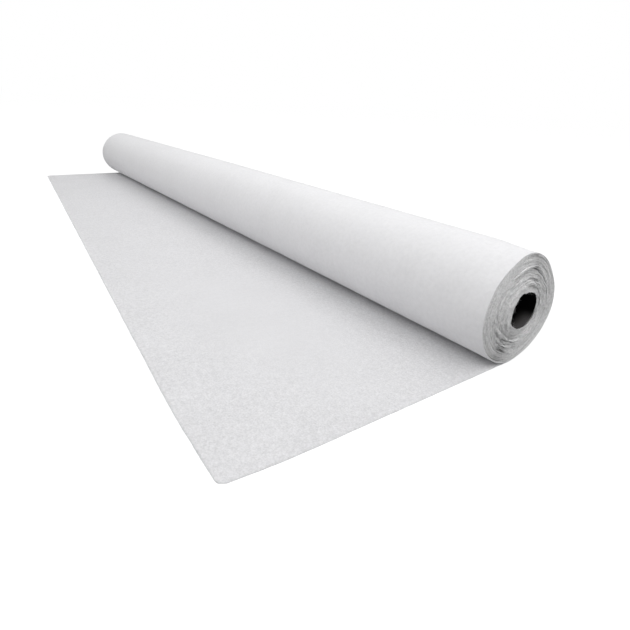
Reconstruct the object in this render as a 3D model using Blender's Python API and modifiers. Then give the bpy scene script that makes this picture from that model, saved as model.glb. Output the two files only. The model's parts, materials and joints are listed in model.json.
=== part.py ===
"""A roll of white nonwoven geotextile, partly rolled out on the ground.

The roll lies along X and is rolled out towards -Y, and +Z is up. The origin is on the ground, in the
middle of the object's bounding box. All lengths are in metres.
"""

import bpy
from math import cos, hypot, pi, sin, tau

# Driving dimensions
fabric_width = 2.5  # the sheet's width, and so the roll's length
fabric_thickness = 0.0015  # one layer of the fabric, lying loose
roll_radius = 0.108  # to the outside of the last turn
core_bore_radius = 0.038  # inside of the board tube
core_wall = 0.004
core_recess = 0.003  # how far each end of the tube lies inside the fabric's edge
core_edge_bevel = 0.0005
tape_width = 0.05  # around the tube
tape_thickness = 0.0004
tape_end_margin = 0.06  # bare length of tube at each end of the tape
turn_gap = 0.0006  # free space between two turns of the winding
clearance = 0.0003  # left between pieces that touch
reach_near = 0.599  # from below the roll's axis to the free corner at the +X end, unrounded
reach_far = 0.390  # the same at the -X end: the free edge is laid askew
near_corner_radius = 0.022
far_corner_radius = 0.010
contact_front = 0.050  # the strip that the roll stands on, in front of its axis
contact_back = 0.014  # and behind its axis
end_step_radius = 0.076  # inside this radius the ends of the turns are set back
end_step_depth = 0.006
end_step_run = 0.006  # the radius over which the step is spread
least_turn_gap = 0.0004  # the winding is never closer to itself than this

# Counts
turns = 23  # each stands for two or three real turns
points_per_turn = 24
tube_sides = 48
tape_steps = 6
corner_steps = 6

# Worked out from the dimensions above
half_width = fabric_width / 2
core_radius = core_bore_radius + core_wall
axis_height = fabric_thickness + clearance + roll_radius
turn_step = tau / points_per_turn
corner_share = 1 / cos(turn_step / 2)  # a polygon's corner radius for each unit of its flat's
tape_inner = core_radius + clearance
tape_outer = tape_inner + tape_thickness
first_inner = (tape_outer + clearance) * corner_share
band_thickness = (roll_radius - first_inner - turns * turn_gap) / (turns + corner_share)
turn_pitch = band_thickness + turn_gap
first_radius = first_inner + band_thickness / 2 * corner_share
last_radius = first_radius + turns * turn_pitch
back_radius = roll_radius - turn_pitch / 4  # a quarter turn in from the end of the last turn


def clear_scene():
    for thing in list(bpy.data.objects):
        bpy.data.objects.remove(thing)


def new_collection(name):
    collection = bpy.data.collections.new(name)
    bpy.context.scene.collection.children.link(collection)
    return collection


def plain_material(name, colour, roughness):
    material = bpy.data.materials.new(name)
    material.use_nodes = True
    shader = material.node_tree.nodes["Principled BSDF"]
    shader.inputs["Base Color"].default_value = (*colour, 1)
    shader.inputs["Roughness"].default_value = roughness
    shader.inputs["Metallic"].default_value = 0
    return material


def add_piece(name, data, collection, parent, material):
    """Links a new object for one piece, with its own material."""
    piece = bpy.data.objects.new(name, data)
    collection.objects.link(piece)
    piece.parent = parent
    data.materials.append(material)
    return piece


def add_axis(name, place, collection, parent=None):
    """An empty on a joint's axis, which the pieces that move together hang from."""
    axis = bpy.data.objects.new(name, None)
    axis.empty_display_size = roll_radius
    axis.location = place
    axis.parent = parent
    collection.objects.link(axis)
    return axis


def ribbon_mesh(name, path, ends):
    """An open strip along X: path holds its (y, z) points and ends the (low, high) x at each of them."""
    verts = []
    for (y, z), (low, high) in zip(path, ends):
        verts += [(low, y, z), (high, y, z)]
    faces = [(2 * i, 2 * i + 1, 2 * i + 3, 2 * i + 2) for i in range(len(path) - 1)]
    mesh = bpy.data.meshes.new(name)
    mesh.from_pydata(verts, [], faces)
    mesh.shade_smooth()
    return mesh


def thicken(piece, thickness):
    """Gives an open strip its thickness, half to each side."""
    shell = piece.modifiers.new("thickness", "SOLIDIFY")
    shell.thickness = thickness
    shell.offset = 0
    shell.use_even_offset = True


def turned_mesh(name, profile):
    """A closed outline of (radius, height) points, joined up, ready to be turned round Z."""
    mesh = bpy.data.meshes.new(name)
    edges = [(i, (i + 1) % len(profile)) for i in range(len(profile))]
    mesh.from_pydata([(radius, 0, height) for radius, height in profile], edges, [])
    return mesh


def core_tube(collection, axis):
    """The wound board tube. Its outline runs down the outside and up the bore."""
    half = half_width - core_recess
    bevel = core_edge_bevel
    profile = [
        (core_radius, half - bevel),
        (core_radius, bevel - half),
        (core_radius - bevel, -half),
        (core_bore_radius + bevel, -half),
        (core_bore_radius, bevel - half),
        (core_bore_radius, half - bevel),
        (core_bore_radius + bevel, half),
        (core_radius - bevel, half),
    ]
    board = plain_material("core_board", (0.16, 0.155, 0.15), 0.9)
    tube = add_piece("core_tube", turned_mesh("core_tube", profile), collection, axis, board)
    tube.rotation_euler = (0, pi / 2, 0)
    turn = tube.modifiers.new("turn", "SCREW")
    turn.steps = turn.render_steps = tube_sides
    turn.use_merge_vertices = True
    turn.merge_threshold = clearance / 10
    turn.use_smooth_shade = True
    return tube


def start_tape(collection, axis):
    """The tape between the tube and the start of the fabric, which begins below the axis."""
    radius = (tape_inner + tape_outer) / 2 * corner_share
    spread = tape_width / radius
    angles = [-pi / 2 - spread * i / tape_steps for i in range(tape_steps + 1)]
    path = [(radius * cos(angle), radius * sin(angle)) for angle in angles]
    half = half_width - core_recess - tape_end_margin
    film = plain_material("tape_film", (0.62, 0.55, 0.40), 0.5)
    mesh = ribbon_mesh("start_tape", path, [(-half, half)] * len(path))
    tape = add_piece("start_tape", mesh, collection, axis, film)
    thicken(tape, tape_thickness)
    return tape


def end_set_back(radius):
    """How far the end of a turn lies inside the sheet's full width, at this radius."""
    share = (end_step_radius + end_step_run / 2 - radius) / end_step_run
    share = min(1, max(0, share))
    return end_step_depth * share * share * (3 - 2 * share)


def winding_points():
    """(radius, angle) along the winding, from the last turn's end under the roll to the core.

    The fabric comes in under the roll from the front, goes up its back, over the top and down again.
    """
    points = []
    for i in range(turns * points_per_turn + 1):
        points.append((last_radius - turn_pitch * i / points_per_turn, turn_step * i - pi / 2))
    return points


def least_gap_to_itself(path, thickness):
    """The smallest distance between two turns of the path, less the thickness of the fabric."""
    least = roll_radius
    for i, (y, z) in enumerate(path[:-points_per_turn]):
        # the nearest stretch of the next turn in, around the point one full turn on
        for j in range(i + points_per_turn - 2, min(i + points_per_turn + 2, len(path) - 1)):
            (y1, z1), (y2, z2) = path[j], path[j + 1]
            along_y, along_z = y2 - y1, z2 - z1
            share = ((y - y1) * along_y + (z - z1) * along_z) / (along_y**2 + along_z**2)
            share = min(1, max(0, share))
            least = min(least, hypot(y - y1 - share * along_y, z - z1 - share * along_z))
    return least - thickness


def wound_fabric(collection, axis):
    """The wound sheet, one unbroken spiral band."""
    spiral = winding_points()
    path = [(radius * cos(angle), radius * sin(angle)) for radius, angle in spiral]
    ends = []
    for radius, _ in spiral:
        half = half_width - end_set_back(radius)
        ends.append((-half, half))
    gap = least_gap_to_itself(path, band_thickness)
    print(f"winding: {turns} turns of {band_thickness * 1000:.2f} mm", end=", ")
    print(f"least gap to itself {gap * 1000:.2f} mm")
    if gap < least_turn_gap:
        print("winding: the turns are too close, use fewer of them or a wider turn_gap")
    white = plain_material("wound_felt", (0.80, 0.80, 0.81), 0.95)
    mesh = ribbon_mesh("wound_fabric", path, ends)
    roll = add_piece("wound_fabric", mesh, collection, axis, white)
    thicken(roll, band_thickness)
    return roll


def outline_curve(name, outline, thickness):
    """A flat closed outline, filled and given its thickness, half up and half down."""
    curve = bpy.data.curves.new(name, "CURVE")
    curve.dimensions = "2D"
    curve.fill_mode = "BOTH"
    curve.extrude = thickness / 2
    spline = curve.splines.new("POLY")
    spline.points.add(len(outline) - 1)
    for point, (x, y) in zip(spline.points, outline):
        point.co = (x, y, 0, 1)
    spline.use_cyclic_u = True
    return curve


def rounded_corner(corner, before, after, radius):
    """Points of an arc that rounds a corner between the directions to its two neighbours."""
    bx, by = before[0] - corner[0], before[1] - corner[1]
    ax, ay = after[0] - corner[0], after[1] - corner[1]
    b_long, a_long = hypot(bx, by), hypot(ax, ay)
    bx, by, ax, ay = bx / b_long, by / b_long, ax / a_long, ay / a_long
    half_cos = ((1 + bx * ax + by * ay) / 2) ** 0.5  # of half the angle at the corner
    half_sin = (1 - half_cos**2) ** 0.5
    start_far = radius * half_cos / half_sin
    mid_x, mid_y = (bx + ax) / (2 * half_cos), (by + ay) / (2 * half_cos)
    centre = (corner[0] + mid_x * radius / half_sin, corner[1] + mid_y * radius / half_sin)
    sx, sy = corner[0] + bx * start_far - centre[0], corner[1] + by * start_far - centre[1]
    ex, ey = corner[0] + ax * start_far - centre[0], corner[1] + ay * start_far - centre[1]
    points = []
    for i in range(corner_steps + 1):
        share = i / corner_steps
        x, y = sx * (1 - share) + ex * share, sy * (1 - share) + ey * share
        scale = radius / hypot(x, y)
        points.append((centre[0] + x * scale, centre[1] + y * scale))
    return points


def laid_outline():
    """The lead of fabric seen from above, with y counted from below the roll's axis."""
    seam_y = -contact_front - clearance
    roll_far, roll_near = (-half_width, seam_y), (half_width, seam_y)
    free_near, free_far = (half_width, -reach_near), (-half_width, -reach_far)
    outline = [roll_far]
    outline += rounded_corner(free_far, roll_far, free_near, far_corner_radius)
    outline += rounded_corner(free_near, free_far, roll_near, near_corner_radius)
    outline.append(roll_near)
    return outline


def laid_sheet(collection, outline, axis_y, material):
    """The lead of fabric on the ground, from the strip under the roll to the free edge."""
    curve = outline_curve("laid_sheet", outline, fabric_thickness)
    sheet = add_piece("laid_sheet", curve, collection, None, material)
    sheet.location = (0, axis_y, fabric_thickness / 2)
    return sheet


def contact_strip(collection, slide, material):
    """The strip of fabric that the roll presses on the ground, and that moves along with it."""
    outline = [
        (-half_width, -contact_front),
        (half_width, -contact_front),
        (half_width, contact_back),
        (-half_width, contact_back),
    ]
    curve = outline_curve("contact_strip", outline, fabric_thickness)
    strip = add_piece("contact_strip", curve, collection, slide, material)
    strip.location.z = fabric_thickness / 2
    return strip


def build():
    clear_scene()
    collection = new_collection("geotextile_roll")
    outline = laid_outline()
    # this puts the origin midway between the free corner and the back of the roll
    axis_y = -(min(y for _, y in outline) + back_radius) / 2
    roll_out = add_axis("roll_out_slide", (0, axis_y, 0), collection)
    roll_turn = add_axis("roll_turn_axis", (0, 0, axis_height), collection, roll_out)
    laid_sheet(collection, outline, axis_y, plain_material("laid_felt", (0.76, 0.76, 0.77), 0.95))
    contact_strip(collection, roll_out, plain_material("strip_felt", (0.70, 0.70, 0.71), 0.95))
    core_tube(collection, roll_turn)
    start_tape(collection, roll_turn)
    wound_fabric(collection, roll_turn)
    print(f"roll axis at y {axis_y:.5f} m, z {axis_height:.5f} m")


build()
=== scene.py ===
import json
from math import pi, radians, tau

import bpy
import numpy as np
from mathutils import Matrix, Vector


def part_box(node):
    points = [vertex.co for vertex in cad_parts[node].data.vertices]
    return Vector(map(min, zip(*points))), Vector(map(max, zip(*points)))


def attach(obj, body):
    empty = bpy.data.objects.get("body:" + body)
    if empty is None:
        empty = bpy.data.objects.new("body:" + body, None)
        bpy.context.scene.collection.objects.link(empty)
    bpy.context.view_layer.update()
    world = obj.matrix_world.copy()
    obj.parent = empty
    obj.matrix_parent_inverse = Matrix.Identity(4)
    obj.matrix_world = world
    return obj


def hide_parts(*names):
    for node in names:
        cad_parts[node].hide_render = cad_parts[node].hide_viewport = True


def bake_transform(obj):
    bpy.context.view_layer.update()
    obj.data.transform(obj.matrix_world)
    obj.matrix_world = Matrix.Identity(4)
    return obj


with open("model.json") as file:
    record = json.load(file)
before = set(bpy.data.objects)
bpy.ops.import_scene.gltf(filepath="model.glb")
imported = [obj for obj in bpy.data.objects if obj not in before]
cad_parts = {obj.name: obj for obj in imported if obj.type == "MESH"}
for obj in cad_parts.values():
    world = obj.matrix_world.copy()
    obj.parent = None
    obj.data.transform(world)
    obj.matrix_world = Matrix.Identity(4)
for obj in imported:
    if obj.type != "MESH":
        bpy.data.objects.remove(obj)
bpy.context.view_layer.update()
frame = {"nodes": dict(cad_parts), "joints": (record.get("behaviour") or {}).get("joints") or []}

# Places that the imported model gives
rollJoint = next(joint for joint in frame["joints"] if joint["name"] == "roll_turn")
axisY, axisZ = rollJoint["pos_m"][1:]
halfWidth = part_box("wound_fabric")[1].x
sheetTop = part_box("laid_sheet")[1].z
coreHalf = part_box("core_tube")[1].x
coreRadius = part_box("core_tube")[1].z - axisZ
tubeCreep = 0.0060  # at the near end the tube has crept out with the turns around it
tubeNear = coreHalf + tubeCreep
restGap = 0.0003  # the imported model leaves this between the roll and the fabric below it
rollRadius = axisZ - sheetTop - restGap
millimetre = 0.001
print(f"frame: roll {2 * halfWidth:.3f} m wide, {2 * rollRadius:.4f} m across")


# Small helpers. Middles and spreads of stretches round the roll are in degrees.

def smooth(share):
    share = np.clip(share, 0, 1)
    return share * share * (3 - 2 * share)


def within(share, edge):  # 1 well inside a radius share, 0 outside it: the share, and the run it fades over
    outer, run = edge
    return smooth((outer - share) / run)


def beyond(share, edge):  # the opposite
    inner, run = edge
    return smooth((share - inner) / run)


def turnedFrom(angle, middle):
    return (angle - radians(middle) + pi) % tau - pi


def hump(angle, middle, spread):  # 1 at the middle, 0 a spread away on both sides
    return smooth(1 - np.abs(turnedFrom(angle, middle)) / radians(spread))


def plateau(angle, middle, spread):  # the same with a broad flat top
    return smooth((1 - np.abs(turnedFrom(angle, middle)) / radians(spread)) * 2)


def climbing(angle, middle, spread, climb):  # from -climb to climb on the way through the same stretch
    return climb * np.clip(turnedFrom(angle, middle) / radians(spread), -1, 1)


def wander(places, step, seed):  # a smooth random line, from -1 to 1, through a value every step
    places = np.asarray(places, float) / step
    low = np.floor(places).astype(int)
    values = np.random.default_rng(seed).uniform(-1, 1, low.max() - low.min() + 2)
    first = low - low.min()
    return values[first] + (values[first + 1] - values[first]) * smooth(places - low)


swellWaves = 7
swellPace = (0.7, 0.6)  # the slowest wave's pace, and how much quicker the quickest is
swellReach = 4  # the waves seldom add up to more


def swell(across, along, size, seed):  # a smooth random surface, from about -1 to 1, over two grids
    total = np.zeros(np.broadcast(across, along).shape)
    slowest, quicker = swellPace
    for heading, phase in np.random.default_rng(seed).uniform(0, tau, (swellWaves, 2)):
        pace = slowest + quicker * phase / tau
        way = across * np.cos(heading) + along * np.sin(heading)
        total = total + np.sin(way * tau * pace / size + phase)
    return total / swellReach


def quads(a, b, c, d):
    return np.stack([a, b, c, d], -1).reshape(-1, 4)


def addPiece(name, points, faces, material):
    mesh = bpy.data.meshes.new(name)
    mesh.from_pydata(points, [], faces)
    mesh.materials.append(material)
    mesh.shade_smooth()
    piece = bpy.data.objects.new(name, mesh)
    bpy.context.scene.collection.objects.link(piece)
    return piece


def closedSheet(name, upper, lower, material):
    # Two grids of points, rows by columns along X, joined round their rims into one closed sheet
    rows, columns = upper.shape[:2]
    up = np.arange(rows * columns).reshape(rows, columns)
    low = up + rows * columns
    faces = np.concatenate([
        quads(up[:-1, :-1], up[1:, :-1], up[1:, 1:], up[:-1, 1:]),
        quads(low[:-1, 1:], low[1:, 1:], low[1:, :-1], low[:-1, :-1]),
        quads(up[:-1, -1], up[1:, -1], low[1:, -1], low[:-1, -1]),
        quads(low[:-1, 0], low[1:, 0], up[1:, 0], up[:-1, 0]),
        quads(up[0, :-1], up[0, 1:], low[0, 1:], low[0, :-1]),
        quads(low[-1, :-1], low[-1, 1:], up[-1, 1:], up[-1, :-1]),
    ])
    points = np.concatenate([upper.reshape(-1, 3), lower.reshape(-1, 3)])
    piece = addPiece(name, points.tolist(), faces.tolist(), material)
    smoothFaces = np.arange(len(faces)) < 2 * (rows - 1) * (columns - 1)  # the cut rims stay flat
    piece.data.polygons.foreach_set("use_smooth", smoothFaces)
    return piece


# Node helpers

def newMaterial(name):
    material = bpy.data.materials.new(name)
    material.use_nodes = True
    tree = material.node_tree
    return material, tree, tree.nodes["Principled BSDF"]


def addNode(tree, kind, inputs=None, **settings):
    node = tree.nodes.new("ShaderNode" + kind)
    for key, value in settings.items():
        setattr(node, key, value)
    for key, value in (inputs or {}).items():
        if isinstance(value, bpy.types.NodeSocket):
            tree.links.new(value, node.inputs[key])
        else:
            node.inputs[key].default_value = value
    return node


def maths(tree, operation, first, second=0.0, third=0.0):
    return addNode(tree, "Math", {0: first, 1: second, 2: third}, operation=operation).outputs[0]


def ranged(tree, value, fromRange, toRange=(0.0, 1.0), **settings):
    inputs = {"Value": value, "From Min": fromRange[0], "From Max": fromRange[1],
              "To Min": toRange[0], "To Max": toRange[1]}
    return addNode(tree, "MapRange", inputs, **settings).outputs["Result"]


def scaled(tree, place, scales):
    return addNode(tree, "Mapping", {"Vector": place, "Scale": scales}).outputs["Vector"]


def grain(tree, place, size, detail=2.0, rough=0.5, warp=0.0):
    # Noise from about 0 to 1, whose blots are about the given size in metres
    inputs = {"Vector": place, "Scale": 1 / size, "Detail": detail, "Roughness": rough, "Distortion": warp}
    return addNode(tree, "TexNoise", inputs).outputs[0]


def strands(tree, place, size, thin, warp):
    # Thin curled lines where a noise crosses its middle value: 1 on a line, 0 off it
    noise = grain(tree, place, size, detail=1.0, rough=0.4, warp=warp)
    away = maths(tree, "ABSOLUTE", maths(tree, "SUBTRACT", noise, 0.5))
    return ranged(tree, away, (0.0, thin), (1.0, 0.0), interpolation_type="SMOOTHSTEP")


def varied(tree, tone, pattern, strength):
    # A tone moved up and down by a pattern that lies around a half
    return maths(tree, "MULTIPLY_ADD", maths(tree, "SUBTRACT", pattern, 0.5), strength, tone)


def tinted(tree, colour, tone):
    return addNode(tree, "VectorMath", {0: colour, "Scale": tone}, operation="SCALE").outputs["Vector"]


def finishSurface(tree, shader, look, colour, roughness, height):
    bump = addNode(tree, "Bump", {"Height": height, "Strength": look["relief"],
                                  "Distance": look["bumpHeight"]})
    tree.links.new(colour, shader.inputs["Base Color"])
    tree.links.new(roughness, shader.inputs["Roughness"])
    tree.links.new(bump.outputs["Normal"], shader.inputs["Normal"])


# Felt: needled white fibre, seen as fine mottle, cloudy patches, curled strands and needle pricks
feltLook = {
    "mottleRough": 0.6,
    "mottleWarp": 0.3,
    "coarse": 0.0,  # larger blots, that still show from further away
    "coarseSize": 0.0,
    "cloudSize": 0.11,
    "streakSize": 0.012,
    "streakRun": (1.0, 0.02, 0.02),  # along the fabric: round the roll, and away from it on the ground
    "strandSize": 0.0035,
    "strandThin": 0.045,
    "strandWarp": 1.2,
    "strandRise": 0.35,  # of the mottle's height
    "fineStrand": 0.6,  # of the strands' size
    "fineStretch": (1.3, 0.9, 1.1),
    "fineWarp": 0.8,
    "prickSize": 0.0024,
    "prickSpread": 0.8,
    "prickEdge": (0.12, 0.30),
    "prickTone": 1.5,  # how much darker they are than the strands are light
    "prickSink": 0.5,  # of the mottle's height
    "roughness": (0.88, 0.99),
    "roughFor": (0.2, 0.8),  # the mottle's values that get these
    "sheen": 0.04,
    "sheenRoughness": 0.45,
    "specular": 0.08,
    "bumpHeight": 0.0006,
    "brightest": 0.97,
    "rings": 0.0,
    "pressed": None,
}

# The wound felt looks lighter than a single layer on the ground
woundLook = dict(feltLook, colour=(0.84, 0.838, 0.85), mottle=0.13, mottleSize=0.0080, cloud=0.05,
                 streak=0.03, strand=0.012, relief=0.6)

# Each turn's cut edge has its own tone: rings of about this width and run
edgeLook = dict(feltLook, colour=(0.825, 0.825, 0.827), mottle=0.78, mottleSize=0.0038, cloud=0.14,
                cloudSize=0.03, streak=0.0, strand=0.04, relief=0.9, rings=0.55, ringSize=0.0042,
                ringRun=0.09)

laidLook = dict(feltLook, colour=(0.718, 0.716, 0.729), mottle=0.52, mottleSize=0.0028, cloud=0.06,
                streak=0.03, strand=0.02, relief=0.7, coarse=0.19, coarseSize=0.0085)
laidLook["pressed"] = {  # a smooth patch, where the felt is pressed
    "place": (0.80, axisY - 0.31),
    "size": (0.34, 0.16),
    "fade": (0.5, 1.3),  # of its size
    "least": 0.30,  # how much of the mottle is left there
}


def mottleLeft(tree, place, pressed):
    (middleX, middleY), (sizeX, sizeY) = pressed["place"], pressed["size"]
    away = addNode(tree, "Mapping", {"Vector": place, "Location": (-middleX / sizeX, -middleY / sizeY, 0),
                                     "Scale": (1 / sizeX, 1 / sizeY, 0)})
    far = addNode(tree, "VectorMath", {0: away.outputs["Vector"]}, operation="LENGTH").outputs["Value"]
    return ranged(tree, far, pressed["fade"], (pressed["least"], 1.0))


def ringTone(tree, place, look):
    # Streaks that follow the winding
    parts = addNode(tree, "SeparateXYZ", {"Vector": place})
    across = maths(tree, "SUBTRACT", parts.outputs["Y"], axisY)
    up = maths(tree, "SUBTRACT", parts.outputs["Z"], axisZ)
    flat = addNode(tree, "CombineXYZ", {"X": across, "Y": up}).outputs["Vector"]
    radius = addNode(tree, "VectorMath", {0: flat}, operation="LENGTH").outputs["Value"]
    ringPlace = addNode(tree, "CombineXYZ", {"X": maths(tree, "DIVIDE", radius, look["ringSize"]),
                                             "Y": maths(tree, "DIVIDE", across, look["ringRun"]),
                                             "Z": maths(tree, "DIVIDE", up, look["ringRun"])})
    return grain(tree, ringPlace.outputs["Vector"], size=1.0, detail=2.0, rough=0.6)


def feltMaterial(name, look):
    material, tree, shader = newMaterial(name)
    place = addNode(tree, "TexCoord").outputs["Object"]
    blots = grain(tree, place, look["mottleSize"], rough=look["mottleRough"], warp=look["mottleWarp"])
    clouds = grain(tree, place, look["cloudSize"])
    thin = look["strandThin"]
    coarseHairs = strands(tree, place, look["strandSize"], thin, look["strandWarp"])
    finePlace = scaled(tree, place, look["fineStretch"])
    fineHairs = strands(tree, finePlace, look["strandSize"] * look["fineStrand"], thin, look["fineWarp"])
    hairs = maths(tree, "MAXIMUM", coarseHairs, fineHairs)
    cells = addNode(tree, "TexVoronoi", {"Vector": place, "Scale": 1 / look["prickSize"],
                                         "Randomness": look["prickSpread"]})
    pricks = ranged(tree, cells.outputs["Distance"], look["prickEdge"], (1.0, 0.0))

    # each pattern moves the tone up or down around 1
    mottle = maths(tree, "MULTIPLY", maths(tree, "SUBTRACT", blots, 0.5), look["mottle"])
    if look["coarse"]:
        patches = grain(tree, place, look["coarseSize"], detail=1.0, warp=look["mottleWarp"])
        mottle = varied(tree, mottle, patches, look["coarse"])
    left = mottleLeft(tree, place, look["pressed"]) if look["pressed"] else 1.0
    tone = maths(tree, "MULTIPLY_ADD", mottle, left, 1.0)
    tone = varied(tree, tone, clouds, look["cloud"])
    if look["streak"]:
        streaks = grain(tree, scaled(tree, place, look["streakRun"]), look["streakSize"], rough=0.6)
        tone = varied(tree, tone, streaks, look["streak"])
    if look["rings"]:
        tone = varied(tree, tone, ringTone(tree, place, look), look["rings"])
    tone = maths(tree, "MULTIPLY_ADD", hairs, look["strand"], tone)
    tone = maths(tree, "MULTIPLY_ADD", pricks, -look["strand"] * look["prickTone"], tone)
    held = addNode(tree, "VectorMath", {0: tinted(tree, look["colour"], tone), 1: (look["brightest"],) * 3},
                   operation="MINIMUM")
    rough = ranged(tree, blots, look["roughFor"], look["roughness"])
    height = maths(tree, "MULTIPLY_ADD", hairs, look["strandRise"], blots)
    height = maths(tree, "MULTIPLY_ADD", pricks, -look["prickSink"], height)
    finishSurface(tree, shader, look, held.outputs["Vector"], rough, height)
    shader.inputs["Sheen Weight"].default_value = look["sheen"]
    shader.inputs["Sheen Roughness"].default_value = look["sheenRoughness"]
    shader.inputs["Specular IOR Level"].default_value = look["specular"]
    return material


woundFelt = feltMaterial("woundFelt", woundLook)
edgeFelt = feltMaterial("edgeFelt", edgeLook)
laidFelt = feltMaterial("laidFelt", laidLook)

boardLook = {
    # painted shade: near black, for the deep shade inside the bore
    "colour": (0.0022, 0.0021, 0.0021),
    "fleckSize": 0.0022,
    "fleckStretch": (0.4, 1.0, 1.0),
    "fleckTone": 0.5,
    "stainSize": 0.05,
    "stainTone": 0.3,
    "plyTurn": 0.11,  # how far the wound plies move along the tube in one turn
    "seam": 0.03,  # the seam's share of that
    "seamTone": 0.35,
    "seamSink": 0.6,
    "lint": 40.0,  # how many times lighter it is where lint lies along the bottom, near the ends
    "lintHeights": (-0.010, -0.030),  # painted light: how many times lighter the board is along the bottom near the ends, where light comes in through the tube's mouths
    "lintReach": 0.024,  # how far in from the ends the painted light reaches
    "roughness": (0.80, 0.95),
    "specular": 0.03,
    "relief": 0.5,
    "bumpHeight": 0.0003,
}


def boardMaterial(look):
    # Board wound from plies: a seam climbs round the tube, with fibre flecks in the paper. Its colour is
    # painted shade, near black for the dark inside of the bore.
    material, tree, shader = newMaterial("coreBoard")
    place = addNode(tree, "TexCoord").outputs["Object"]
    parts = addNode(tree, "SeparateXYZ", {"Vector": place})
    up = maths(tree, "SUBTRACT", parts.outputs["Z"], axisZ)
    around = maths(tree, "ARCTAN2", up, maths(tree, "SUBTRACT", parts.outputs["Y"], axisY))
    along = maths(tree, "DIVIDE", parts.outputs["X"], look["plyTurn"])
    climb = maths(tree, "MULTIPLY_ADD", around, 1 / tau, along)
    seam = maths(tree, "LESS_THAN", maths(tree, "FRACT", climb), look["seam"])
    flecks = grain(tree, scaled(tree, place, look["fleckStretch"]), look["fleckSize"], detail=4.0, rough=0.7)
    stains = grain(tree, place, look["stainSize"])
    tone = varied(tree, 1.0, flecks, look["fleckTone"])
    tone = varied(tree, tone, stains, look["stainTone"])
    tone = maths(tree, "MULTIPLY_ADD", seam, -look["seamTone"], tone)
    # painted light: lighter along the bottom near both ends, where light comes in through the mouths
    low = ranged(tree, up, look["lintHeights"], interpolation_type="SMOOTHSTEP")
    outward = maths(tree, "ABSOLUTE", parts.outputs["X"])
    paintedLightRun = (coreHalf - look["lintReach"], coreHalf)
    nearEnds = ranged(tree, outward, paintedLightRun, interpolation_type="SMOOTHSTEP")
    lint = maths(tree, "MULTIPLY", low, nearEnds)
    tone = maths(tree, "MULTIPLY", tone, maths(tree, "MULTIPLY_ADD", lint, look["lint"] - 1, 1.0))
    rough = ranged(tree, flecks, (0.0, 1.0), look["roughness"])
    height = maths(tree, "MULTIPLY_ADD", seam, -look["seamSink"], flecks)
    finishSurface(tree, shader, look, tinted(tree, look["colour"], tone), rough, height)
    shader.inputs["Specular IOR Level"].default_value = look["specular"]
    return material


tapeLook = {
    "colour": (0.62, 0.55, 0.40),
    "plainTone": 0.78,
    "crepeSize": 0.0014,
    "crepeStretch": (1.0, 0.15, 0.15),
    "crepeTone": 0.25,
    "stainSize": 0.02,
    "stainTone": 0.2,
    "roughness": (0.45, 0.65),
    "relief": 0.6,
    "bumpHeight": 0.0002,
}


def tapeMaterial(look):
    # Buff paper tape, creped across its length
    material, tree, shader = newMaterial("tapePaper")
    place = addNode(tree, "TexCoord").outputs["Object"]
    crepe = grain(tree, scaled(tree, place, look["crepeStretch"]), look["crepeSize"], rough=0.6)
    stains = grain(tree, place, look["stainSize"])
    tone = maths(tree, "MULTIPLY_ADD", stains, look["stainTone"], look["plainTone"])
    tone = maths(tree, "MULTIPLY_ADD", crepe, look["crepeTone"], tone)
    rough = ranged(tree, crepe, (0.0, 1.0), look["roughness"])
    finishSurface(tree, shader, look, tinted(tree, look["colour"], tone), rough, crepe)
    return material


coreBoard = boardMaterial(boardLook)
tapePaper = tapeMaterial(tapeLook)
print("materials: felt, board and tape")


# The wound fabric: one spiral of thin felt, made in three stretches. The outermost turn has the finest mesh.
winding = {
    "turns": 50,
    "layer": 0.00120,  # felt thickness under the winding's own pressure
    "coreSpace": 0.0013,  # from the tube's outside to the last turn, for the tape
    "tuck": radians(26),  # the angle over which the fabric dips in under its own outer end
    "outerEnd": 0.07,  # of the thickness, at the fabric's outer end
    "evenAfter": 6,  # turns, counted from outside, until the spiral is even
    "turnPoints": 108,
    "outerPoints": 200,
    "splitTurn": 22,
    "endZone": 0.18,  # along X, outermost turn only: even columns begin this far in from both ends
    "middleStep": 0.02,
    "ringHeight": 0.00010,  # slight rings and waves on the outermost turn
    "rings": ((0.035, 0.6), (0.011, 0.4)),  # steps along X, and their parts
    "waveSize": 0.3,
    "cutRim": 0.8,  # of the thickness, at the cut edges
    "droop": (112, 85, 0.075),  # the far end sags on top: middle, spread, and depth as a share of the radius
}

# Distances in from an end where the turns have points
innerInsets = (0, 0.0007, 0.0016, 0.0028, 0.006, 0.014, 0.03, 0.08, 0.25)
innerFarInsets = (0, 0.0008, 0.006, 0.03)
outerInsets = (0, 0.0007, 0.002, 0.004, 0.008, 0.014, 0.022, 0.032, 0.045, 0.06, 0.08, 0.1, 0.12, 0.14, 0.16)

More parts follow.
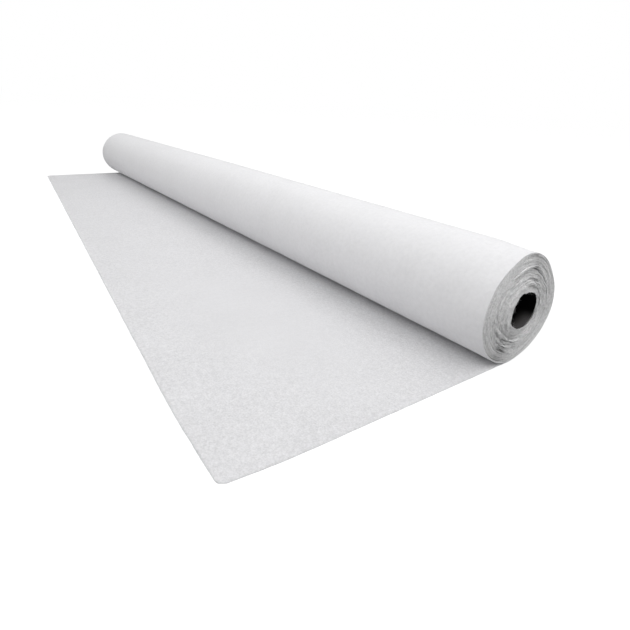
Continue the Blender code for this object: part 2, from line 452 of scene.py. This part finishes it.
# What both ends share. Edges give a share of the roll's radius, and the run over which something sets in.
endForm = {
    "ringRadius": 0.06,  # random swells round the end are taken on a ring of this radius
    "bundleTurns": (1.4, 4.2),  # turns stand out in bundles of so many
    "bundles": 40,
    "bundleStep": 0.22,  # the part of a turn in which the edge moves from one bundle's height to the next
    "slackEdge": (0.80, 0.08),  # the turns are slack inside this
    "looseOuter": (0.87, 0.1),
    "looseInner": (0.36, 0.06),
    "slopeEdge": (0.42, 0.25),
    "offsetSwells": ((0.034, 0.37, -0.23), (0.013, -0.31, 0.29)),  # size, and shift from bundle to bundle
    "fleckPart": 0.45,  # how much single turns stand out, where bundles do by 1
    "calmLeast": 0.12,  # how much of all this is left for the last turns
    "slackWander": 1.5,  # how much more the edge wanders where slack
    "neatFluff": 0.6,
    "offsetDepth": 0.06,  # how deep in from the end the turns' own places along X differ
    "rippleEdge": (0.42, 0.08),
    "ripplePace": 0.07,
    "ripples": ((1, 0.12, 0.024), (0.5, 0.1, 0.012)),  # part, pace across the turns, size
    "slackRipple": 0.25,
    # gaps, grooves and ledges, in radius shares
    "gapEdge": 0.010,
    "gapPush": 0.28,  # the turns inside a gap are pushed together over this, and set back over the next
    "gapBack": 0.055,
    "gapRim": (0.012, 0.02, 0.35),  # place outside the gap, half width, and height as a part of the set back
    "grooveEdge": 0.008,
    "groovePush": 0.05,
    "grooveOpening": (0.55, 0.75, 0.5),  # plain, more or less in places, and more where it is widest
    "grooveMost": 1.3,
    "grooveSwell": (0.075, 0.31),  # size, and its shift from groove to groove
    "ledgeEdge": 0.006,
    "ledgeWander": (0.008, 0.03),  # radius share, size
    "lipRing": 0.07,
    "lipSwell": (0.013, 0.05),
    "lipRest": 0.02,  # radius share next to the tube that leans all the way
    "lipClear": 0.0002,  # how far past the tube's end the lean begins
    "leastSqueeze": 0.15,  # of the thickness, where turns are squeezed
}

# The near end: pressed in at one side, its middle pushed out, and the turns slack in some places
nearEnd = {
    "seed": 11,
    "tubeEnd": tubeNear,
    "dents": ((40, 63, 0.112), (-68, 40, 0.016), (122, 34, 0.022)),  # middle, spread, share of the radius
    "dentLength": 0.10,
    "slope": (0.021, -0.010),  # the edge's run along X for each metre of Y and Z
    "dome": 0.0056,
    "domeInner": 0.42,  # as shares of the roll's radius
    "domeOuter": 0.76,
    "neatStep": 0.0005,  # how unevenly bundles of turns stand out, where wound well
    "slackStep": 0.0013,
    "looseStep": 0.0024,
    "looseAngle": (238, 66),
    "ripple": 0.0010,
    "turnWander": 0.0003,
    "wanderStep": radians(24),
    "fluff": 0.00045,
    "fluffStep": radians(9),
    "calm": (0.41, 0.46),  # the last turns keep level with each other: radius shares where that ends
    "lip": 0.0070,  # how far the last turns lean in over the tube's end, and how much more in places
    "lipTurns": ((74, 34, 0.0030), (122, 20, -0.0022), (210, 28, -0.0028), (312, 46, -0.0036)),
    "lipShare": 0.50,  # as a share of the roll's radius, where the lean begins
    "lipRun": 0.0018,  # the distance past the tube's end over which they lean
    "lipWear": 0.0010,
    "reach": 0.05,  # how deep the slack places go
    # narrow grooves between bundles, all the way round: radius shares, width (mm), and where they are widest
    "grooves": (0.975, 0.950, 0.920, 0.889, 0.842, 0.807, 0.765,
                0.725, 0.650, 0.605, 0.560, 0.520, 0.480, 0.440),
    "groove": 0.9,
    "grooveAngle": (205, 120),
    # where turns have parted: radius share, its climb, middle, spread, gap and inner side's set back (mm)
    "gaps": (
        (0.737, 0.025, 63, 60, 1.5, 2.4),
        (0.570, 0.020, 84, 32, 0.7, 1.4),
        (0.860, 0.020, 75, 45, 0.5, 1.0),
        (0.950, 0.000, 60, 40, 0.5, 1.0),
        (0.985, 0.000, 224, 40, 1.6, 1.6),
        (0.800, 0.000, 252, 22, 0.8, 1.2),
        (0.745, 0.000, 262, 16, 0.8, 1.2),
    ),
    # bundles that stand out or lie deeper: radius shares on both sides, climb, middle, spread, height (mm)
    "ledges": (
        (0.748, 0.780, -0.034, 98, 40, 3.2),
        (0.468, 0.495, 0.010, 74, 28, 2.6),
        (0.425, 0.462, 0.000, 70, 30, -2.6),
        (0.385, 0.428, 0.000, 64, 16, -1.0),
        (0.385, 0.420, 0.000, 104, 14, 0.9),
        (0.772, 0.797, 0.008, 254, 22, 3.2),
        (0.690, 0.716, 0.008, 254, 24, 3.2),
        (0.562, 0.588, -0.006, 252, 30, 3.6),
        (0.480, 0.548, 0.000, 245, 36, -2.2),
        (0.596, 0.620, 0.000, 262, 12, -2.4),
        (0.570, 0.690, 0.000, 230, 5, -1.6),
        (0.742, 0.764, 0.000, 236, 8, -5.0),
        (0.777, 0.802, 0.000, 240, 8, -6.0),
        (0.898, 0.918, 0.000, 237, 5, -3.0),
        (0.440, 0.460, 0.000, 270, 24, -1.8),
    ),
}

farEnd = dict(
    nearEnd,
    seed=71,
    tubeEnd=coreHalf,
    dents=((150, 60, 0.02),),
    slope=(0.0, 0.0),
    dome=0.0025,
    looseAngle=(40, 50),
    lip=0.0,
    lipTurns=(),
    gaps=(
        (0.770, 0.0, 118, 60, 1.6, 2.0),
        (0.620, 0.0, 300, 40, 1.0, 2.0),
        (0.480, 0.0, 200, 50, 1.2, 2.0),
        (0.900, 0.0, 20, 40, 0.6, 1.0),
    ),
    ledges=((0.640, 0.690, 0.0, 200, 60, 1.2),),
)

firstInner = coreRadius + winding["coreSpace"]
turnPitch = (rollRadius - winding["layer"] - firstInner) / winding["turns"]


def windingAt(along):
    # Outer radius and thickness of the felt at an angle along the spiral, counted in from its outer end
    turns = along / tau
    whole = np.maximum(np.floor(turns), 0)
    part = np.where(turns < 0, 0, turns - whole)
    even = np.clip(whole / winding["evenAfter"], 0, 1)
    tuckShare = winding["tuck"] / tau
    dip = smooth((part - 1 + tuckShare) / tuckShare)
    radius = rollRadius - turnPitch * (whole + even * part + (1 - even) * dip)
    taper = smooth((along + winding["tuck"]) / winding["tuck"])
    thickness = winding["layer"] * np.where(along < 0, np.maximum(taper, winding["outerEnd"]), 1.0)
    return radius, thickness


def overRadius(radius):
    # How much of a squash a radius takes: all of it outside, none at the tube
    return np.clip((radius - coreRadius) / (rollRadius - coreRadius), 0, 1)


def bundleShare(along, seed):
    # The radius share of the bundle that a place on the spiral belongs to
    widths = np.random.default_rng(seed).uniform(*endForm["bundleTurns"], endForm["bundles"])
    turns = along / tau
    bundled = 0
    for width, first in zip(widths[1:], np.cumsum(widths)):
        bundled = bundled + width * smooth((turns - first) / endForm["bundleStep"])
    return 1 - turnPitch * bundled / rollRadius


def looseShare(share, angle, look):
    loose = hump(angle, *look["looseAngle"])
    return loose * within(share, endForm["looseOuter"]) * beyond(share, endForm["looseInner"])


def grooveWidth(number, angle, look):
    # Each groove opens and closes on its way round
    plain, change, widest = endForm["grooveOpening"]
    size, shift = endForm["grooveSwell"]
    across = np.cos(angle) * endForm["ringRadius"] + number * shift
    opening = plain + change * swell(across, np.sin(angle) * endForm["ringRadius"], size, look["seed"] + 20)
    opening = opening + widest * hump(angle, *look["grooveAngle"])
    return look["groove"] * millimetre * np.clip(opening, 0, endForm["grooveMost"])


def pushedIn(inner, edge, run):
    # Turns inside a gap are pushed together, less and less towards the tube
    return smooth(inner / edge) * np.clip(1 - inner / run, 0, 1)


def endRadius(radius, angle, inset, past, look):
    # Where the unevenness near an end moves the middle of the felt, in or out
    share = radius / rollRadius
    seed = look["seed"]
    ripple = sum(part * swell(angle * endForm["ripplePace"], share * pace, size, seed + 4 + i)
                 for i, (part, pace, size) in enumerate(endForm["ripples"]))
    slack = endForm["slackRipple"] * within(share, endForm["slackEdge"]) + looseShare(share, angle, look)
    inward = look["ripple"] * ripple * slack * beyond(share, endForm["rippleEdge"])
    for ringShare, climb, middle, spread, gap, _ in look["gaps"]:
        inner = ringShare + climbing(angle, middle, spread, climb) - share
        pushed = pushedIn(inner, endForm["gapEdge"], endForm["gapPush"])
        inward = inward + gap * millimetre * plateau(angle, middle, spread) * pushed
    for number, ringShare in enumerate(look["grooves"]):
        pushed = pushedIn(ringShare - share, endForm["grooveEdge"], endForm["groovePush"])
        inward = inward + grooveWidth(number, angle, look) * pushed
    inward = inward * (1 - smooth(inset / look["reach"]))
    # past the tube's end nothing holds the last turns, so they lean in over it
    size, pace = endForm["lipSwell"]
    across, up = np.cos(angle) * endForm["lipRing"], np.sin(angle) * endForm["lipRing"]
    worn = look["lipWear"] * swell(across, up + share * pace, size, seed + 6)
    more = sum(extra * hump(angle, middle, spread) for middle, spread, extra in look["lipTurns"])
    leanFrom = look["lipShare"]
    lean = smooth((leanFrom - share) / (leanFrom - coreRadius / rollRadius - endForm["lipRest"]))
    inward = inward + lean * past * (look["lip"] + more + worn)
    press = sum(depth * hump(angle, middle, spread) for middle, spread, depth in look["dents"])
    press = press * (1 - smooth(inset / look["dentLength"]))
    return (radius - inward) * (1 - press * overRadius(radius))


def endOffset(along, angle, radius, look):
    # How far the cut edge stands out past the roll's nominal end
    share = radius / rollRadius
    seed = look["seed"]
    bundle = bundleShare(along, seed)
    across, up = np.cos(angle) * endForm["ringRadius"], np.sin(angle) * endForm["ringRadius"]
    slack = within(bundle, endForm["slackEdge"])
    tilt = np.cos(angle) * look["slope"][0] + np.sin(angle) * look["slope"][1]
    offset = radius * tilt * beyond(share, endForm["slopeEdge"])
    domed = (look["domeOuter"] - bundle) / (look["domeOuter"] - look["domeInner"])
    offset = offset + look["dome"] * smooth(domed)
    # bundles stand out unevenly, and so, by less, do the turns in them
    steps, flecks = [swell(across + bundle * shiftAcross, up + bundle * shiftUp, size, seed + i)
                     for i, (size, shiftAcross, shiftUp) in enumerate(endForm["offsetSwells"], 2)]
    height = look["neatStep"] + look["slackStep"] * slack + look["looseStep"] * looseShare(share, angle, look)
    calmFrom, calmTo = look["calm"]
    calm = endForm["calmLeast"]
    calm = calm + (1 - calm) * smooth((share - calmFrom) / (calmTo - calmFrom))
    offset = offset + calm * height * (steps + endForm["fleckPart"] * flecks * slack)
    turnLine = calm * wander(along, look["wanderStep"], seed) * look["turnWander"]
    offset = offset + turnLine * (1 + endForm["slackWander"] * slack)
    fluffLine = calm * wander(along, look["fluffStep"], seed + 8) * look["fluff"]
    offset = offset + fluffLine * (endForm["neatFluff"] + slack)
    rimPlace, rimWidth, rimHeight = endForm["gapRim"]
    for ringShare, climb, middle, spread, _, setBack in look["gaps"]:
        inner = ringShare + climbing(angle, middle, spread, climb) - share
        back = smooth(inner / endForm["gapEdge"]) * smooth(1 - inner / endForm["gapBack"])
        rim = smooth(1 - np.abs(inner + rimPlace) / rimWidth)
        offset = offset + (rimHeight * rim - back) * setBack * millimetre * plateau(angle, middle, spread)
    wanderShare, wanderSize = endForm["ledgeWander"]
    bend = share + wanderShare * swell(across, up, wanderSize, seed + 7)
    for first, last, climb, middle, spread, rise in look["ledges"]:
        level = bend - climbing(angle, middle, spread, climb)
        onLedge = beyond(level, (first, endForm["ledgeEdge"])) * within(level, (last, endForm["ledgeEdge"]))
        offset = offset + onLedge * rise * millimetre * plateau(angle, middle, spread)
    return offset


def endColumn(along, angle, radius, thickness, inset, side):
    # One column of points near an end: the radii of the felt's two faces, and X
    look = nearEnd if side > 0 else farEnd
    x = halfWidth - inset
    x = x + endOffset(along, angle, radius, look) * (1 - smooth(inset / endForm["offsetDepth"]))
    past = smooth((x - look["tubeEnd"] - endForm["lipClear"]) / look["lipRun"])
    middle, outside, inside = [endRadius(r, angle, inset, past, look)
                               for r in (radius, radius + turnPitch, radius - turnPitch)]
    # squeezed turns are thinner
    room = np.minimum(outside - middle, middle - inside) / turnPitch
    half = thickness / 2 * np.clip(room, endForm["leastSqueeze"], 1)
    if inset == 0:
        half = half * winding["cutRim"]
    return middle + half, middle - half, side * x


def woundPoints(along, insets, farInsets, middle):
    # The upper and lower grids of points for a stretch of the spiral, as radii and X
    angle = along - pi / 2 + winding["tuck"] / 2
    outside, thickness = windingAt(along)
    radius = outside - thickness / 2
    columns = [endColumn(along, angle, radius, thickness, inset, -1) for inset in farInsets]
    columns += [(outside, outside - thickness, np.full(len(along), x)) for x in middle]
    columns += [endColumn(along, angle, radius, thickness, inset, 1) for inset in insets[::-1]]
    above, below, x = (np.stack(part, 1) for part in zip(*columns))
    return angle[:, None], [above, below], x


def aroundAxis(angle, radius, x):
    return np.stack([x, axisY + radius * np.cos(angle), axisZ + radius * np.sin(angle)], -1)


def toPoints(angle, radius, x):
    middle, spread, depth = winding["droop"]
    droop = depth * hump(angle, middle, spread) * np.clip(-x / halfWidth, 0, 1)
    return aroundAxis(angle, radius * (1 - droop * overRadius(radius)), x)


def unrolledLength(along, radii):
    middle = (radii[0] + radii[1]).mean(1) / 2
    return float(((middle[1:] + middle[:-1]) / 2 * np.diff(along)).sum())


def outerTurn():
    along = np.linspace(-winding["tuck"], tau, winding["outerPoints"] + 1)
    evenHalf = halfWidth - winding["endZone"]
    middle = np.arange(-evenHalf, evenHalf + millimetre, winding["middleStep"])
    angle, radii, x = woundPoints(along, outerInsets, outerInsets, middle)
    rings = sum(wander(x, step, 5 + i) * part for i, (step, part) in enumerate(winding["rings"]))
    waves = np.clip(swell(angle * rollRadius * 2, x, winding["waveSize"], 8), -1, 1)
    sunk = (2 + rings + waves) * winding["ringHeight"]
    upper, lower = (toPoints(angle, radius - sunk, x) for radius in radii)
    return closedSheet("outerTurn", upper, lower, woundFelt), unrolledLength(along, radii)


def innerTurns(name, firstTurn, lastTurn):
    perTurn = winding["turnPoints"]
    along = tau * (firstTurn + np.arange((lastTurn - firstTurn) * perTurn + 1) / perTurn)
    angle, radii, x = woundPoints(along, innerInsets, innerFarInsets, (0.0,))
    print(f"{name}: turns {firstTurn} to {lastTurn}, {turnPitch / millimetre:.2f} mm apart")
    upper, lower = (toPoints(angle, radius, x) for radius in radii)
    return closedSheet(name, upper, lower, edgeFelt), unrolledLength(along, radii)


woundPieces = [
    outerTurn(),
    innerTurns("middleTurns", 1, winding["splitTurn"]),
    innerTurns("innerTurns", winding["splitTurn"], winding["turns"]),
]
woundOn = ("middleTurns", "innerTurns", "coreTube")
for (piece, length), under in zip(woundPieces, woundOn):
    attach(piece, "roll")
    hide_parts("wound_fabric")
    print(f"{piece.name}: {length:.2f} m of fabric")
innerPiece = woundPieces[-1][0]
print("wound fabric done")


# The board tube, with worn, slightly uneven ends
tube = {
    "wall": 0.004,
    "sides": 96,
    "endInsets": (0.0, 0.0004, 0.0012, 0.003, 0.01, 0.03, 0.1, 0.3),
    "rounding": (0.55, 0.12, 0.0),  # of the wall, at the first insets
    "wear": 0.0004,
    "wornLength": 0.002,
    "wearRing": 0.05,
    "wearSize": 0.03,
}


def coreTube():
    angle = np.linspace(0, tau, tube["sides"], endpoint=False)
    across, up = np.cos(angle) * tube["wearRing"], np.sin(angle) * tube["wearRing"]
    insets = list(tube["endInsets"])
    xs = [-coreHalf + d for d in insets] + [0.0] + [tubeNear - d for d in insets[::-1]]
    rounding = list(tube["rounding"]) + [0.0] * (len(insets) - len(tube["rounding"]))
    rounding = rounding + [0.0] + rounding[::-1]
    rings = []
    for outside in (True, False):
        order = range(len(xs)) if outside else range(len(xs) - 1, -1, -1)
        for i in order:
            inset = tube["wall"] / 2 * rounding[i]
            radius = coreRadius - inset if outside else coreRadius - tube["wall"] + inset
            worn = swell(across, up, tube["wearSize"], 31 + (i < len(xs) / 2))
            atEnd = abs(xs[i]) > (tubeNear if xs[i] > 0 else coreHalf) - tube["wornLength"]
            x = xs[i] - np.sign(xs[i]) * (1 + worn) * tube["wear"] * atEnd
            rings.append(aroundAxis(angle, radius, x + 0 * angle))
    points = np.array(rings)
    count, sides = points.shape[:2]
    at = np.arange(count * sides).reshape(count, sides)
    nextRing, nextSide = np.roll(at, -1, 0), np.roll(at, -1, 1)
    faces = quads(at, nextSide, np.roll(nextRing, -1, 1), nextRing)
    return addPiece("coreTube", points.reshape(-1, 3).tolist(), faces.tolist(), coreBoard)


corePiece = coreTube()
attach(corePiece, "roll")
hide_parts("core_tube")
tapeNode = frame["nodes"]["start_tape"]
tapeNode.data.materials.clear()
tapeNode.data.materials.append(tapePaper)
print("core done")


# The lead on the ground: it runs in under the roll and up its back, where it joins the outermost turn
lead = {
    "reachNear": 0.606,  # from below the roll's axis to the free edge, along the near side
    "reachFar": 0.397,
    "ease": 0.0085,  # how far the near corner's two sides curve in, besides its rounding
    "easeFront": 0.25,
    "easeFrontCurve": 1.8,
    "easeSide": 0.15,
    "easeSideCurve": (2, 12),  # along Y, and across X
    "nearCorner": 0.011,
    "farCorner": 0.024,
    "thickness": 0.0013,
    "uneven": (0.06, 0.02),  # of the thickness, and its size
    "onGround": 0.0001,
    "lift": 0.0014,  # how high its waves stand off the ground
    "waves": ((0.34, 0.7), (0.12, 0.3)),  # size and part
    "flatRun": (0.07, 0.12),  # flat for so far in front of the axis, and the run over which the waves set in
    "edgeDown": 0.04,  # the width over which the waves die out towards the cut edges
    "edgeWander": 0.0005,
    "wanderSteps": (0.05, 0.012),
    "sideWanderCurve": 40,
    "edgeThin": 0.12,  # of the thickness, right at the cut
    "rim": 0.0036,  # the width over which the felt thins out towards its cut edge
    "edgeSpacing": (0.35, 0.65),  # how much of the mesh is spaced evenly, and how much is closer at its ends
    "rows": 110,
    "columns": 240,
    "underRoll": 0.05,  # the roll presses on it up to here, on both sides of the axis
    "climb": 0.030,  # how far it follows the roll's back, past the axis
    "tail": 0.00012,  # thickness where it meets the roll
    "blendFrom": 0.39,  # two distances in front of the axis
    "blendTo": 0.03,
}


def leadReach(x):
    # Distance from below the axis to the free edge, with its two corners rounded
    share = (x + halfWidth) / (2 * halfWidth)
    reach = lead["reachFar"] + (lead["reachNear"] - lead["reachFar"]) * share
    nearCorner = np.clip((x - halfWidth) / lead["easeFront"] + 1, 0, 1)
    reach = reach - lead["ease"] * nearCorner ** lead["easeFrontCurve"]
    for side, radius in ((1, lead["nearCorner"]), (-1, lead["farCorner"])):
        into = np.clip(side * x - (halfWidth - radius), 0, radius)
        reach = reach - (radius - np.sqrt(np.maximum(radius**2 - into**2, 0)))
    return reach


def edgeSpaced(count, rim):
    # Shares from 0 to 1, closer together near both ends, where the outermost steps are the rim's size
    even = np.linspace(0, 1, count - 2)
    evenly, closer = lead["edgeSpacing"]
    spaced = evenly * even + closer * (1 - np.cos(pi * even)) / 2
    return np.concatenate([[0], rim + (1 - 2 * rim) * spaced, [1]])


def leadOutline():
    # X and Y of the lead's grid of points, Y from below the axis, and their distance from the cut edges
    wanderLong, wanderShort = lead["wanderSteps"]
    share = edgeSpaced(lead["rows"], lead["rim"] / lead["reachNear"])[:, None]
    x = ((edgeSpaced(lead["columns"], lead["rim"] / (2 * halfWidth)) * 2 - 1) * halfWidth)[None, :]
    frontWander = (wander(x, wanderLong, 41) + wander(x, wanderShort, 42)) * lead["edgeWander"] * 0.5
    frontEdge = -leadReach(x) + frontWander
    y = lead["climb"] + (frontEdge - lead["climb"]) * share
    sideShare = np.abs(x) / halfWidth
    fromFront = (1 - share) * (lead["climb"] - frontEdge)
    fromEdge = np.minimum(fromFront, (1 - sideShare) * halfWidth)
    sideWander = lead["edgeWander"] * (0.5 + 0.5 * wander(y, wanderShort, 43))
    x = x * (1 - sideWander * sideShare ** lead["sideWanderCurve"])
    curveAlong, curveAcross = lead["easeSideCurve"]
    eased = np.clip((-y - lead["reachNear"]) / lead["easeSide"] + 1, 0, 1) ** curveAlong
    x = x - lead["ease"] * eased * np.clip(x / halfWidth, 0, 1) ** curveAcross
    return x, y, fromEdge


def laidLead():
    x, y, fromEdge = leadOutline()
    # waves, kept flat near the roll
    flat, run = lead["flatRun"]
    rise = sum((0.5 + 0.5 * swell(x, y, size, 44 + i)) * part for i, (size, part) in enumerate(lead["waves"]))
    ground = lead["lift"] * smooth((-y - flat) / run) * np.clip(rise, 0, 1)
    under = lead["onGround"] + ground
    uneven, unevenSize = lead["uneven"]
    thickness = lead["thickness"] * (1 + uneven * swell(x, y, unevenSize, 46))
    # behind the axis it rides up the roll and thins out
    back = np.clip(y, 0, None)
    rollUnder = rollRadius + restGap * (1 - smooth(back / lead["climb"]))
    bow = axisZ - np.sqrt(rollUnder**2 - back**2)
    thickness = thickness + (lead["tail"] - thickness) * smooth(back / lead["climb"])
    below = np.clip(y, -lead["underRoll"], lead["underRoll"])
    rollAbove = np.where(np.abs(y) < lead["underRoll"], axisZ - np.sqrt(rollUnder**2 - below**2), 1)
    top = np.minimum(under + thickness, rollAbove)
    top = np.where(y > 0, bow, top)
    under = np.where(y > 0, np.maximum(bow - thickness, lead["onGround"]), under)
    # the cut edges lie on the ground, and thin out
    thin = lead["edgeThin"] + (1 - lead["edgeThin"]) * smooth(fromEdge / lead["rim"])
    down = ground * (1 - smooth(fromEdge / lead["edgeDown"]))
    upper = np.stack([x, axisY + y, under + (top - under) * thin - down], -1)
    lower = np.stack([x, axisY + y, under - down], -1)
    return closedSheet("laidLead", upper, lower, laidFelt)


leadPiece = laidLead()
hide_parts("laid_sheet", "contact_strip")
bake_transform(leadPiece)
print("lead done")


# Loose fibres on the cut edges
fibres = {
    "boreCount": 240,
    "endCount": 260,
    "leadCount": 260,
    "length": (0.002, 0.006),
    "bend": 0.35,  # of the length
    "width": 0.00014,
    "narrowing": 0.7,  # of the width, towards the free end
    "steps": 4,
    "lowest": 0.0003,  # above the ground
    "endHeading": (0.5, 0, 0),
    "endSpread": ((-0.1, 0.3), (-0.5, 0.5), (-0.5, 0.5)),
    "outwardSpread": (-0.5, 0.5),
    "boreLean": -0.9,  # fibres in the bore's edge point in over it
    "boreTurns": 3,
    "frontPart": 0.6,  # of the lead's fibres, along its front edge
    "leadSpread": (-0.8, 0.8),
    "leadRise": (0.0, 0.3),
    "leadHeight": 0.0009,
    "sideFrom": 10,  # the first row of the lead with fibres at its sides
}


def fibrePoints(root, heading, length, draw):
    # A bent, three-sided strand that narrows towards its free end
    bend = Vector(draw.uniform(-1, 1, 3))
    rings = []
    for i in range(fibres["steps"] + 1):
        share = i / fibres["steps"]
        centre = root + heading * length * share + bend * length * fibres["bend"] * share**2
        width = fibres["width"] / 2 * (1 - fibres["narrowing"] * share)
        side = heading.orthogonal().normalized()
        other = heading.cross(side)
        corners = (0, tau / 3, 2 * tau / 3)
        rings.append([centre + (side * np.cos(a) + other * np.sin(a)) * width for a in corners])
    return rings


def fibrePiece(name, roots, headings, material, seed):
    draw = np.random.default_rng(seed)
    points, faces, caps = [], [], []
    for root, heading in zip(roots, headings):
        first = len(points)
        last = first + 3 * fibres["steps"]
        for ring in fibrePoints(root, heading, draw.uniform(*fibres["length"]), draw):
            points += [(p.x, p.y, max(p.z, fibres["lowest"])) for p in ring]
        for start in range(first, last, 3):
            for j in range(3):
                a, b = start + j, start + (j + 1) % 3
                faces.append((a, b, b + 3, a + 3))
        caps += [(first + 2, first + 1, first), (last, last + 1, last + 2)]
    return addPiece(name, points, faces + caps, material)


def endFibres():
    draw = np.random.default_rng(91)
    roots, headings = [], []
    points = innerPiece.data.vertices
    columns = len(innerInsets) + len(innerFarInsets) + 1
    perTurn = winding["turnPoints"]
    rows = (winding["turns"] - winding["splitTurn"]) * perTurn + 1
    boreRows = fibres["boreTurns"] * perTurn
    for total, firstRow, lean in ((fibres["boreCount"], rows - boreRows, fibres["boreLean"]),
                                  (fibres["endCount"], 0, 0.0)):
        for _ in range(total):
            row = draw.integers(firstRow, rows)
            root = points[int(row) * columns + columns - 1].co.copy()
            outward = Vector((0, root.y - axisY, root.z - axisZ)).normalized()
            heading = Vector(fibres["endHeading"]) + outward * (lean + draw.uniform(*fibres["outwardSpread"]))
            heading += Vector([draw.uniform(*spread) for spread in fibres["endSpread"]])
            roots.append(root)
            headings.append(heading.normalized())
    return fibrePiece("endFibres", roots, headings, edgeFelt, 92)


def leadFibres():
    draw = np.random.default_rng(95)
    rows, columns = lead["rows"], lead["columns"]
    points = leadPiece.data.vertices
    roots, headings = [], []
    for _ in range(fibres["leadCount"]):
        inFront = draw.random() < fibres["frontPart"]
        if inFront:
            row, column = rows - 1, int(draw.integers(0, columns))
        else:
            side = int(draw.integers(0, 2))
            row, column = int(draw.integers(fibres["sideFrom"], rows)), side * (columns - 1)
        root = points[row * columns + column].co.copy()
        root.z = fibres["leadHeight"]
        sideways, rise = draw.uniform(*fibres["leadSpread"]), draw.uniform(*fibres["leadRise"])
        heading = Vector((sideways, -1, rise) if inFront else (2 * side - 1, sideways, rise))
        roots.append(root)
        headings.append(heading.normalized())
    return fibrePiece("leadFibres", roots, headings, laidFelt, 96)


endFibrePiece = endFibres()
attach(endFibrePiece, "roll")
leadFibrePiece = leadFibres()
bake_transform(leadFibrePiece)
print("loose fibres done")


# Floor, light and camera
studio = {
    "floorSize": 60.0,
    "floorColour": 0.42,
    "floorLift": 0.65,  # how much of the floor's look to the camera is plain white
    "floorWhite": 1.45,
    "skyLow": 0.14,  # the soft light at the horizon
    "skyTop": 0.50,
    "lampSize": 5.0,
    "lampAim": (0.2, 0.0, 0.0),
    "lamps": {
        "topLamp": (68.5, (0.2, 2.5, 4.33)),  # power and place
        "frontLamp": (91.0, (0.2, -3.5, 3.5)),
        "sideLamp": (103.0, (3.4, 0.0, 3.8)),
    },
}

photoCamera = {
    "lens": 27.093,
    "place": (1.65892, -0.53175, 0.44024),
    "pitch": radians(24.581),
    "yaw": radians(52.952),
    "roll": radians(2.981),
    "nearest": 0.05,
    "furthest": 200,
}


def seenWhite(tree):
    # 1 where the camera looks, or a glossy reflection, and 0 for the rays that light the object
    rays = addNode(tree, "LightPath")
    return maths(tree, "MAXIMUM", rays.outputs["Is Camera Ray"], rays.outputs["Is Glossy Ray"])


def addFloor():
    size = studio["floorSize"] / 2
    points = [(-size, -size, 0), (size, -size, 0), (size, size, 0), (-size, size, 0)]
    material, tree, _ = newMaterial("paleFloor")
    tree.nodes.clear()
    plain = addNode(tree, "BsdfDiffuse", {"Color": (*[studio["floorColour"]] * 3, 1)})
    white = addNode(tree, "Emission", {"Strength": studio["floorWhite"]})
    lift = maths(tree, "MULTIPLY", seenWhite(tree), studio["floorLift"])
    mixed = addNode(tree, "MixShader", {0: lift, 1: plain.outputs[0], 2: white.outputs[0]})
    addNode(tree, "OutputMaterial", {"Surface": mixed.outputs[0]})
    addPiece("floor", points, [(0, 1, 2, 3)], material)


def addSky():
    world = bpy.data.worlds.new("studioSky")
    world.use_nodes = True
    tree = world.node_tree
    tree.nodes.clear()
    # the light falls off towards the horizon
    way = addNode(tree, "SeparateXYZ", {"Vector": addNode(tree, "TexCoord").outputs["Generated"]})
    height = maths(tree, "MAXIMUM", way.outputs["Z"], 0.0)
    level = maths(tree, "MULTIPLY_ADD", height, studio["skyTop"] - studio["skyLow"], studio["skyLow"])
    soft = addNode(tree, "Background", {"Color": (1, 1, 1, 1), "Strength": level})
    white = addNode(tree, "Background", {"Color": (1, 1, 1, 1), "Strength": 1.0})
    mixed = addNode(tree, "MixShader", {0: seenWhite(tree), 1: soft.outputs[0], 2: white.outputs[0]})
    addNode(tree, "OutputWorld", {"Surface": mixed.outputs[0]})
    bpy.context.scene.world = world


def addLamp(name, power, place):
    lamp = bpy.data.lights.new(name, "AREA")
    lamp.shape = "DISK"
    lamp.size = studio["lampSize"]
    lamp.energy = power
    holder = bpy.data.objects.new(name, lamp)
    holder.location = place
    holder.rotation_euler = (Vector(studio["lampAim"]) - Vector(place)).to_track_quat("-Z", "Y").to_euler()
    bpy.context.scene.collection.objects.link(holder)


def addCamera():
    data = bpy.data.cameras.new("photoCamera")
    data.lens = photoCamera["lens"]
    data.clip_start = photoCamera["nearest"]
    data.clip_end = photoCamera["furthest"]
    camera = bpy.data.objects.new("photoCamera", data)
    turn = Matrix.Rotation(photoCamera["yaw"], 4, "Z")
    turn = turn @ Matrix.Rotation(pi / 2 - photoCamera["pitch"], 4, "X")
    turn = turn @ Matrix.Rotation(photoCamera["roll"], 4, "Z")
    camera.matrix_world = Matrix.Translation(photoCamera["place"]) @ turn
    bpy.context.scene.collection.objects.link(camera)
    bpy.context.scene.camera = camera


addFloor()
addSky()
for lampName, (lampPower, lampPlace) in studio["lamps"].items():
    addLamp(lampName, lampPower, lampPlace)
addCamera()
bpy.context.scene.view_settings.view_transform = "Standard"
print("studio done")
